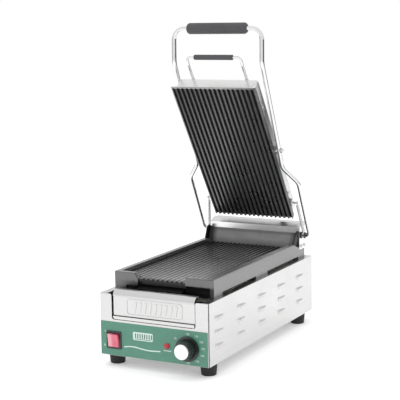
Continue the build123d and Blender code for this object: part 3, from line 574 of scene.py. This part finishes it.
# Figures as pen lines in a box 2 wide and 3 high.
FIGURES = {
    "0": [(0.2, 0.4), (0.2, 2.6), (1.0, 3.0), (1.8, 2.6), (1.8, 0.4), (1.0, 0.0), (0.2, 0.4)],
    "1": [(0.4, 2.4), (1.1, 3.0), (1.1, 0.0)],
    "2": [(0.2, 2.5), (1.0, 3.0), (1.8, 2.5), (1.8, 1.9), (0.2, 0.1), (1.8, 0.0)],
    "3": [(0.2, 2.7), (1.2, 3.0), (1.7, 2.3), (0.9, 1.6), (1.8, 0.9), (1.2, 0.0), (0.2, 0.3)],
    "4": [(1.9, 0.9), (0.2, 0.9), (1.4, 3.0), (1.4, 0.0)],
    "5": [(1.7, 3.0), (0.4, 3.0), (0.3, 1.7), (1.4, 1.8), (1.8, 0.9), (1.2, 0.0), (0.2, 0.3)],
}
FIGURE_TALL, FIGURE_MIDDLE, FIGURE_PITCH, PEN_WIDTH = 3, 1.5, 2.6, 0.55
FIGURE_MARGIN = (FIGURE_PITCH - 2) / 2


def figures(text, x, z, height):
    """Pen outlines of a number centred on a point."""
    scale = height / FIGURE_TALL
    pitch = FIGURE_PITCH * scale
    start = x - pitch * len(text) / 2 + FIGURE_MARGIN * scale
    outlines = []
    for i, letter in enumerate(text):
        placed = [(start + pitch * i + px * scale, z + (pz - FIGURE_MIDDLE) * scale)
                  for px, pz in FIGURES[letter]]
        outlines.append(stroke(placed, PEN_WIDTH * scale))
    return outlines


# Print on the label and relief on the tray, in front-panel millimetres.
DIAL_MARKS = (("50", 49.6, 75.5), ("100", 77.0, 86.9), ("150", 96.1, 84.6), ("200", 107.1, 74.1),
              ("250", 110.4, 61.0), ("300", 108.9, 47.0), ("350", 97.5, 34.5), ("400", 77.2, 28.8))
DIAL_FIGURE_HEIGHT = 3.4
LABEL_Y, INK_Y = -0.8, -0.86
DARK_INK_Y = INK_Y - 0.05
TRAY_Y = 2.2


def swash():
    """A wave that dies away to the right."""
    left, length, middle_z, lift, pace, steps = -68, 83.5, 44.5, 3.2, 0.39, 16
    return [(left + length * i / steps, middle_z + lift * math.sin(i * pace) * (1 - i / 20))
            for i in range(steps + 1)]


def label_print():
    """Dial numbers, switch marks, a plain grill emblem and two plain stripes."""
    pale_ink = ink("pale_ink", linear(206, 226, 218))
    dark_ink = ink("dark_ink", linear(66, 104, 92))
    pale = []
    for text, x, z in DIAL_MARKS:
        pale += figures(text, x, z, DIAL_FIGURE_HEIGHT)
    switch_on, switch_off = [(-112, 71.4), (-112, 74.8)], arc(-113.6, 44, 1.7, 0, 360, 17)
    pale += [stroke(switch_on, 1.3), stroke(switch_off, 0.9)]
    emblem, lamp_stripe = rounded(-47, -1.4, 61.6, 78.4, 2.5), bar(23, 40, 47.0, 48.6)
    pale += [emblem, stroke(swash(), 2.4), lamp_stripe]
    piece("label_print", *plates(pale, INK_Y, LABEL_Y), pale_ink, "base", "control_label")
    grill = [bar(-42 + 5.2 * i, -39.6 + 5.2 * i, 66, 75.4) for i in range(8)]
    grill.append(bar(-43.4, -4.8, 63.6, 64.8))
    piece("label_emblem_bars", *plates(grill, DARK_INK_Y, INK_Y), dark_ink, "base", "control_label")


def tray_emboss():
    """Raised plain frame and slanted bars pressed into the tray's face."""
    low_z, high_z, width, slant, pitch, left = 117, 139, 5.6, 4.0, 11.6, -47.5
    relief = []
    for i in range(9):
        x = left + pitch * i
        relief.append([(x, low_z), (x + width, low_z), (x + width + slant, high_z), (x + slant, high_z)])
    border = rounded(-61, 64, 112.5, 143.5, 6)
    relief.append(stroke(border + [(64, 137.5)], 1.4))
    piece("tray_emboss", *plates(relief, TRAY_Y - 1.0, TRAY_Y), SHEET_X, "drip_tray", "brushed_sheet")


WIRE_SIDES = 8


def sweep(path, radius):
    """Round wire along a path of points, closed at both ends."""
    points, faces = [], []
    across = (path[1] - path[0]).orthogonal().normalized()
    for i, centre in enumerate(path):
        along = (path[min(i + 1, len(path) - 1)] - path[max(i - 1, 0)]).normalized()
        across = (across - along * across.dot(along)).normalized()
        other = along.cross(across)
        for k in range(WIRE_SIDES):
            turn = 2 * math.pi * k / WIRE_SIDES
            points.append(centre + radius * (across * math.cos(turn) + other * math.sin(turn)))
    for i in range(len(path) - 1):
        for k in range(WIRE_SIDES):
            a, b = i * WIRE_SIDES + k, i * WIRE_SIDES + (k + 1) % WIRE_SIDES
            faces.append((a, b, b + WIRE_SIDES, a + WIRE_SIDES))
    last = (len(path) - 1) * WIRE_SIDES
    faces.append(tuple(reversed(range(WIRE_SIDES))))
    faces.append(tuple(range(last, last + WIRE_SIDES)))
    return points, faces


def joined(parts):
    """One list of points and faces from several."""
    points, faces = [], []
    for more, rings in parts:
        start = len(points)
        points += more
        faces += [tuple(i + start for i in ring) for ring in rings]
    return points, faces


COIL_R, WIRE_R, COIL_TURNS, TURN_STEPS = 2.9 * MM, 0.78 * MM, 40, 14
COIL_FOOT, COIL_HEAD = 9.0 * MM, 6.0 * MM      # plain stretch at each end of the coil
LOWER_EYE_R, UPPER_EYE_R = 6.35 * MM, 3.6 * MM
UPPER_WIRE_R = WIRE_R * 0.9
EYE_STEP, EYE_POINTS = math.radians(15), 23
EYE_IN, GROOVE_IN = 1.0 * MM, 3.7 * MM         # eye centres in from the spring's and the stud's ends


def hooked(centre, outward, reach, radius):
    """Path of a hook: in along a line towards a centre, then most of the way round it."""
    lean = math.atan2(outward.z, outward.y)
    turns = [lean + EYE_STEP * i for i in range(EYE_POINTS)]
    ring = [centre + Vector((0, math.cos(turn), math.sin(turn))) * radius for turn in turns]
    return [centre + outward * reach, centre + outward * (radius + MM)] + ring


def level_spring(side, name):
    """Wound spring from the axle to the lid's stud, hooked round both; the mesh is built at rest and
    does not shorten as the lid shuts.
    """
    cad_low, cad_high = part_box(f"level_spring_{name}")
    stud_low, stud_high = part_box("level_studs")
    joints = RECORD["behaviour"]["joints"]
    hinge = next(joint for joint in joints if joint["name"] == "arm_hinge")["pos_m"]
    end_x = cad_high.x if side > 0 else cad_low.x
    foot = Vector((end_x - side * EYE_IN, hinge[1], hinge[2]))
    head = Vector((side * (stud_high.x - GROOVE_IN), (stud_low.y + stud_high.y) / 2,
                   (stud_low.z + stud_high.z) / 2))
    along, span = (head - foot).normalized(), (head - foot).length
    across = along.orthogonal().normalized()
    other = along.cross(across)
    coil, steps = [], COIL_TURNS * TURN_STEPS
    for i in range(steps + 1):
        turn = 2 * math.pi * i / TURN_STEPS
        radius = COIL_R * min(1.0, 0.2 + 2 * min(i, steps - i) / TURN_STEPS)
        centre = foot + along * (COIL_FOOT + (span - COIL_FOOT - COIL_HEAD) * i / steps)
        coil.append(centre + radius * (across * math.cos(turn) + other * math.sin(turn)))
    flat = Vector((0, along.y, along.z)).normalized()
    upper_hook = sweep(hooked(head, -flat, COIL_HEAD + MM, UPPER_EYE_R), UPPER_WIRE_R)
    made = piece(f"level_coil_{name}", *joined([sweep(coil, WIRE_R), upper_hook]), BRIGHT_WIRE,
                 "level_springs", "spring_steel", True)
    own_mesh(made)
    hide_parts(f"level_spring_{name}")
    lower_hook = sweep(hooked(foot, flat, COIL_FOOT + MM, LOWER_EYE_R), WIRE_R)
    piece(f"level_hook_{name}", *lower_hook, BRIGHT_WIRE, "level_springs", "spring_steel", True)


label_print()
tray_emboss()
level_spring(1, "right")
level_spring(-1, "left")


# ---------- stage ----------
GLOSS_LEVEL, MATT_LEVEL, CAMERA_LEVEL = 1.0, 1.08, 1.0
DOME_STOPS = ((0.47, 0.0), (0.50, 0.12), (0.56, 0.80), (0.66, 0.95), (1.0, 1.0))
ROOM_STOPS = ((0.0, 0.95), (0.28, 0.85), (0.52, 0.10), (1.0, 0.06))


def top_softbox():
    """Square light high above the press, a little to its left, that glossy faces don't mirror."""
    place, target, width, power = Vector((-0.5, -0.1, 2.6)), Vector((0, 0, 0.1)), 2.6, 16
    data = bpy.data.lights.new("top_softbox", "AREA")
    data.shape = "RECTANGLE"
    data.size, data.size_y = width, width
    data.energy = power
    light = bpy.data.objects.new("top_softbox", data)
    light.location = place
    light.rotation_euler = (target - place).to_track_quat("-Z", "Y").to_euler()
    light.visible_glossy = False
    bpy.context.scene.collection.objects.link(light)


def floor():
    """Round pale table top, lifted towards white by a faint glow of its own."""
    mesh = bpy.data.meshes.new("floor")
    radius, count = 3.2, 96
    rim = [(radius * math.cos(a), radius * math.sin(a), 0)
           for a in (2 * math.pi * i / count for i in range(count))]
    mesh.from_pydata(rim, [], [tuple(range(count))])
    table = bpy.data.objects.new("floor", mesh)
    bpy.context.scene.collection.objects.link(table)
    s = Shader("pale_floor")
    haze = s.noise(s.place(), 1.5, 2.0, 0.5)
    color = s.mix(s.above(haze), gray(0.95), gray(0.93, 0.005))
    s.bsdf.inputs["Emission Color"].default_value = (1, 1, 1, 1)
    mesh.materials.append(s.base(color, 0.0, 0.7, Specular_IOR_Level=0.1, Emission_Strength=0.2))


def studio_world():
    """White to the camera, even for matt surfaces, and for gloss a bright dome over a dark room.

    Low down, the room is dark behind the press and bright in front of it, which gives round rods
    their dark edges and light cores.
    """
    world = bpy.data.worlds.new("studio")
    bpy.context.scene.world = world
    world.use_nodes = True
    tree = world.node_tree
    tree.nodes.clear()

    def node(kind):
        return tree.nodes.new(kind)

    def background(level):
        made = node("ShaderNodeBackground")
        made.inputs["Color"].default_value = (1, 1, 1, 1)
        made.inputs["Strength"].default_value = level
        return made

    def mixed(factor, first, second):
        made = node("ShaderNodeMixShader")
        tree.links.new(factor, made.inputs["Fac"])
        tree.links.new(first.outputs[0], made.inputs[1])
        tree.links.new(second.outputs[0], made.inputs[2])
        return made

    def ramp(value, stops):
        made = node("ShaderNodeValToRGB")
        elements = made.color_ramp.elements
        for element, (position, level) in zip(elements, (stops[0], stops[-1])):
            element.position = position
            element.color = gray(level)
        for position, level in stops[1:-1]:
            elements.new(position).color = gray(level)
        tree.links.new(value, made.inputs["Fac"])
        return made.outputs["Color"]

    def half(value):
        """-1 to 1 brought to 0 to 1."""
        made = node("ShaderNodeMapRange")
        made.inputs["From Min"].default_value = -1.0
        tree.links.new(value, made.inputs["Value"])
        return made.outputs["Result"]

    split = node("ShaderNodeSeparateXYZ")
    tree.links.new(node("ShaderNodeTexCoord").outputs["Generated"], split.inputs[0])
    dome = ramp(half(split.outputs["Z"]), DOME_STOPS)
    room = ramp(half(split.outputs["Y"]), ROOM_STOPS)
    brighter = node("ShaderNodeMix")
    brighter.data_type, brighter.blend_type = "RGBA", "LIGHTEN"
    brighter.inputs["Factor"].default_value = 1.0
    tree.links.new(dome, brighter.inputs["A"])
    tree.links.new(room, brighter.inputs["B"])
    gloss = background(GLOSS_LEVEL)
    tree.links.new(brighter.outputs["Result"], gloss.inputs["Color"])

    path = node("ShaderNodeLightPath")
    matt = mixed(path.outputs["Is Diffuse Ray"], gloss, background(MATT_LEVEL))
    seen = mixed(path.outputs["Is Camera Ray"], matt, background(CAMERA_LEVEL))
    tree.links.new(seen.outputs[0], node("ShaderNodeOutputWorld").inputs["Surface"])


def camera():
    """Long lens from the front right, a little above the press."""
    place, yaw, pitch, roll = (1.1737, -2.2785, 0.7073), 27.71, 8.774, -0.866
    data = bpy.data.cameras.new("camera")
    data.sensor_width = 36.0
    data.lens = 109.34
    data.clip_end = 60.0
    cam = bpy.data.objects.new("camera", data)
    bpy.context.scene.collection.objects.link(cam)
    turn = (Matrix.Rotation(math.radians(yaw), 4, "Z")
            @ Matrix.Rotation(math.pi / 2 - math.radians(pitch), 4, "X")
            @ Matrix.Rotation(math.radians(roll), 4, "Z"))
    cam.matrix_world = Matrix.Translation(place) @ turn
    bpy.context.scene.camera = cam


floor()
studio_world()
camera()
top_softbox()
bpy.context.scene.view_settings.view_transform = "Standard"
